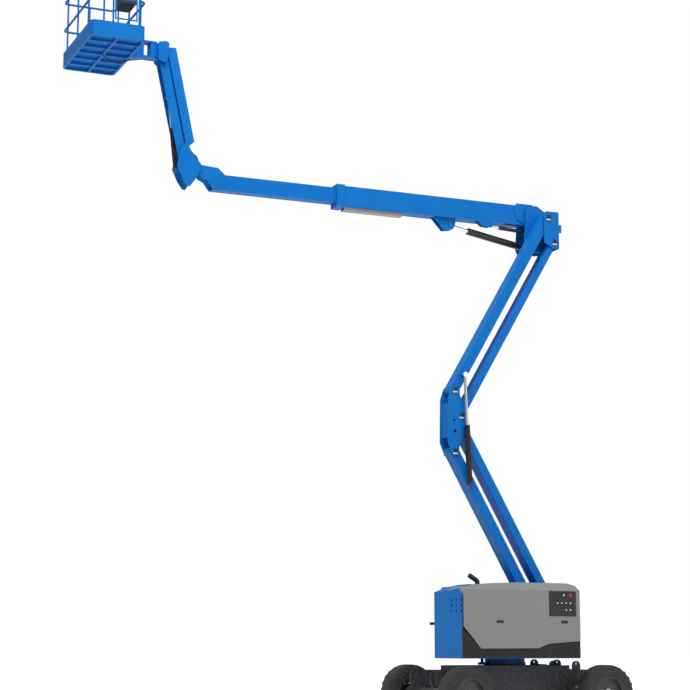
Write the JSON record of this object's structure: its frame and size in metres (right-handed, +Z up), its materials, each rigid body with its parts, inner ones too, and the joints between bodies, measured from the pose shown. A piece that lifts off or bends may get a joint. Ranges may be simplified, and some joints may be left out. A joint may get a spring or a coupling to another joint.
{
  "type": "articulating boom lift",
  "caption": "Wheeled work lift with a slewing body, folding parallel riser, telescopic boom, level jib and railed work platform.",
  "frame": {"origin": "on the ground under the slew axis", "axes": "+X forward towards the steered axle and the platform, +Y to the machine's left, +Z up"},
  "size_m": [9.1069, 2.49, 11.669],
  "materials": {
    "blue": "gloss",
    "dark_steel": "satin",
    "tyre": "matte",
    "rim": "satin",
    "gear": "matte",
    "weight": "satin",
    "engine": "matte",
    "skirt": "matte",
    "pipe": "matte",
    "cover": "satin",
    "black": "gloss",
    "chrome": "mirror",
    "tray": "satin",
    "console": "matte"
  },
  "bodies": {
    "chassis": {"chassis_frame": "dark_steel", "front_axle": "dark_steel", "rear_axle": "dark_steel", "slew_gear": "gear"},
    "steer_left": {"steer_knuckle_left": "dark_steel"},
    "steer_right": {"steer_knuckle_right": "dark_steel"},
    "wheel_front_left": {"tyre_front_left": "tyre", "rim_front_left": "rim"},
    "wheel_front_right": {"tyre_front_right": "tyre", "rim_front_right": "rim"},
    "wheel_rear_left": {"tyre_rear_left": "tyre", "rim_rear_left": "rim"},
    "wheel_rear_right": {"tyre_rear_right": "tyre", "rim_rear_right": "rim"},
    "turntable": {"turntable_frame": "blue", "counterweight": "weight", "power_blocks": "engine", "skirts": "skirt", "exhaust_pipe": "pipe"},
    "left_cover": {"cover_left": "cover"},
    "right_cover": {"cover_right": "cover"},
    "riser_lower_arm": {"lower_arm": "blue"},
    "riser_lower_link": {"lower_link": "blue"},
    "riser_middle": {"riser_knuckle": "blue"},
    "riser_upper_arm": {"upper_arm": "blue"},
    "riser_upper_link": {"upper_link": "blue"},
    "riser_cylinder": {"riser_barrel": "black"},
    "riser_piston": {"riser_rod": "chrome"},
    "riser_top": {"upright": "blue"},
    "lift_cylinder": {"lift_barrel": "black"},
    "lift_piston": {"lift_rod": "chrome"},
    "level_cylinder": {"master_barrel": "black"},
    "level_piston": {"master_rod": "chrome"},
    "boom": {"boom_tube": "blue", "hose_tray": "tray"},
    "extension": {"extension_tube": "blue"},
    "boom_tip": {"bellcrank": "blue"},
    "jib": {"jib_arm": "blue"},
    "jib_rear_link": {"jib_link": "blue"},
    "jib_top": {"jib_head": "blue"},
    "jib_cylinder": {"jib_barrel": "black"},
    "jib_piston": {"jib_rod": "chrome"},
    "platform": {"platform_floor": "blue", "platform_rails": "blue", "control_console": "console"},
    "gate": {"platform_gate": "blue"}
  },
  "joints": [
    {"name": "slew", "type": "hinge", "parent": "chassis", "child": "turntable", "pos_m": [0, 0, 0.92], "axis": [0, 0, 1], "range_deg": [-177.5, 177.5]},
    {"name": "steer_left", "type": "hinge", "parent": "chassis", "child": "steer_left", "pos_m": [1.255, 0.76, 0.44], "axis": [0, 0, 1], "range_deg": [-30, 30]},
    {"name": "steer_right", "type": "hinge", "parent": "chassis", "child": "steer_right", "pos_m": [1.255, -0.76, 0.44], "axis": [0, 0, 1], "range_deg": [-30.05, 30.05]},
    {"name": "wheel_front_left", "type": "hinge", "parent": "steer_left", "child": "wheel_front_left", "pos_m": [1.255, 1.0675, 0.44], "axis": [0, 1, 0], "continuous": true},
    {"name": "wheel_front_right", "type": "hinge", "parent": "steer_right", "child": "wheel_front_right", "pos_m": [1.255, -1.0675, 0.44], "axis": [0, 1, 0], "continuous": true},
    {"name": "wheel_rear_left", "type": "hinge", "parent": "chassis", "child": "wheel_rear_left", "pos_m": [-1.255, 1.0675, 0.44], "axis": [0, 1, 0], "continuous": true},
    {"name": "wheel_rear_right", "type": "hinge", "parent": "chassis", "child": "wheel_rear_right", "pos_m": [-1.255, -1.0675, 0.44], "axis": [0, 1, 0], "continuous": true},
    {"name": "riser", "type": "hinge", "parent": "turntable", "child": "riser_lower_arm", "pos_m": [-0.829, 0, 1.237], "axis": [0, -1, 0], "range_deg": [-59, 10]},
    {"name": "riser_link_turn", "type": "hinge", "parent": "turntable", "child": "riser_lower_link", "pos_m": [-0.963, 0, 1.667], "axis": [0, -1, 0], "range_deg": [-59.05, 10.05]},
    {"name": "riser_middle_turn", "type": "hinge", "parent": "riser_lower_arm", "child": "riser_middle", "pos_m": [0.94373, 0, 4.37028], "axis": [0, -1, 0], "range_deg": [-10.05, 59.05]},
    {"name": "riser_upper_turn", "type": "hinge", "parent": "riser_middle", "child": "riser_upper_arm", "pos_m": [0.92973, 0, 5.40228], "axis": [0, -1, 0], "range_deg": [-10.05, 59.05]},
    {"name": "riser_upper_link_turn", "type": "hinge", "parent": "riser_middle", "child": "riser_upper_link", "pos_m": [0.81473, 0, 4.97228], "axis": [0, -1, 0], "range_deg": [-10.05, 59.05]},
    {"name": "riser_top_turn", "type": "hinge", "parent": "riser_upper_arm", "child": "riser_top", "pos_m": [-0.92319, 0, 8.53538], "axis": [0, -1, 0], "range_deg": [-59.05, 10.05]},
    {"name": "riser_cylinder_turn", "type": "hinge", "parent": "riser_lower_arm", "child": "riser_cylinder", "pos_m": [0.7193, 0.215, 3.80099], "axis": [0, -1, 0], "range_deg": [-7.86, 46.15]},
    {"name": "riser_piston_slide", "type": "slide", "parent": "riser_cylinder", "child": "riser_piston", "axis": [0.0345, 0, 0.9994], "range_m": [-0.6782, 0.1166]},
    {"name": "boom_lift", "type": "hinge", "parent": "riser_top", "child": "boom", "pos_m": [-0.773, -0.325, 8.697], "axis": [0, -1, 0], "range_deg": [-7, 62]},
    {"name": "lift_cylinder_turn", "type": "hinge", "parent": "riser_top", "child": "lift_cylinder", "pos_m": [-0.7, -0.325, 8.06], "axis": [0, -1, 0], "range_deg": [-5.88, 51.66]},
    {"name": "lift_piston_slide", "type": "slide", "parent": "lift_cylinder", "child": "lift_piston", "axis": [0.9847, 0, 0.1744], "range_m": [-0.0673, 0.5802]},
    {"name": "level_cylinder_turn", "type": "hinge", "parent": "riser_top", "child": "level_cylinder", "pos_m": [-0.715, -0.25, 8.33], "axis": [0, -1, 0], "range_deg": [-6.25, 54.97]},
    {"name": "level_piston_slide", "type": "slide", "parent": "level_cylinder", "child": "level_piston", "axis": [0.9987, 0, 0.0512], "range_m": [-0.0439, 0.3728]},
    {"name": "boom_extend", "type": "slide", "parent": "boom", "child": "extension", "axis": [1, 0, 0], "range_m": [-1.9, 0.75]},
    {"name": "boom_tip_turn", "type": "hinge", "parent": "extension", "child": "boom_tip", "pos_m": [5.37, -0.325, 8.824], "axis": [0, -1, 0], "range_deg": [-62.05, 7.05]},
    {"name": "jib_swing", "type": "hinge", "parent": "boom_tip", "child": "jib", "pos_m": [5.584, -0.325, 9.133], "axis": [0, 1, 0], "range_deg": [0, 135]},
    {"name": "jib_link_turn", "type": "hinge", "parent": "boom_tip", "child": "jib_rear_link", "pos_m": [5.617, -0.325, 8.895], "axis": [0, 1, 0], "range_deg": [-0.05, 135.05]},
    {"name": "jib_top_turn", "type": "hinge", "parent": "jib", "child": "jib_top", "pos_m": [5.95, -0.325, 10.814], "axis": [0, 1, 0], "range_deg": [-135.05, 0.05]},
    {"name": "jib_cylinder_turn", "type": "hinge", "parent": "boom_tip", "child": "jib_cylinder", "pos_m": [5.719, -0.325, 8.759], "axis": [0, 1, 0], "range_deg": [-0.05, 142.03]},
    {"name": "jib_piston_slide", "type": "slide", "parent": "jib_cylinder", "child": "jib_piston", "axis": [0.1165, 0, 0.9932], "range_m": [-0.2883, 0.002]},
    {"name": "platform_turn", "type": "hinge", "parent": "jib_top", "child": "platform", "pos_m": [6.15, -0.325, 10.72], "axis": [0, 0, 1], "range_deg": [-80, 80]},
    {"name": "left_cover_lift", "type": "hinge", "parent": "turntable", "child": "left_cover", "pos_m": [0, 0.565, 2.165], "axis": [1, 0, 0], "range_deg": [0, 70]},
    {"name": "right_cover_lift", "type": "hinge", "parent": "turntable", "child": "right_cover", "pos_m": [0, -0.565, 2.165], "axis": [-1, 0, 0], "range_deg": [0, 70]},
    {"name": "gate_swing", "type": "hinge", "parent": "platform", "child": "gate", "pos_m": [6.64, 0.572, 11.1], "axis": [0, 0, -1], "range_deg": [0, 90]}
  ],
  "couplings": [
    {"joint": "steer_right", "follows": "steer_left", "ratio": 1},
    {"joint": "riser_link_turn", "follows": "riser", "ratio": 1},
    {"joint": "riser_middle_turn", "follows": "riser", "ratio": -1},
    {"joint": "riser_upper_turn", "follows": "riser", "ratio": -1},
    {"joint": "riser_upper_link_turn", "follows": "riser", "ratio": -1},
    {"joint": "riser_top_turn", "follows": "riser", "ratio": 1},
    {"joint": "riser_cylinder_turn", "follows": "riser", "ratio": -0.7814},
    {"joint": "riser_piston_slide", "follows": "riser", "m_per_rad": 0.6567},
    {"joint": "lift_cylinder_turn", "follows": "boom_lift", "ratio": 0.8324},
    {"joint": "lift_piston_slide", "follows": "boom_lift", "m_per_rad": 0.5343},
    {"joint": "level_cylinder_turn", "follows": "boom_lift", "ratio": 0.8858},
    {"joint": "level_piston_slide", "follows": "boom_lift", "m_per_rad": 0.3427},
    {"joint": "boom_tip_turn", "follows": "boom_lift", "ratio": -1},
    {"joint": "jib_link_turn", "follows": "jib_swing", "ratio": 1},
    {"joint": "jib_top_turn", "follows": "jib_swing", "ratio": -1},
    {"joint": "jib_cylinder_turn", "follows": "jib_swing", "ratio": 1.0517},
    {"joint": "jib_piston_slide", "follows": "jib_swing", "m_per_rad": -0.1215}
  ]
}
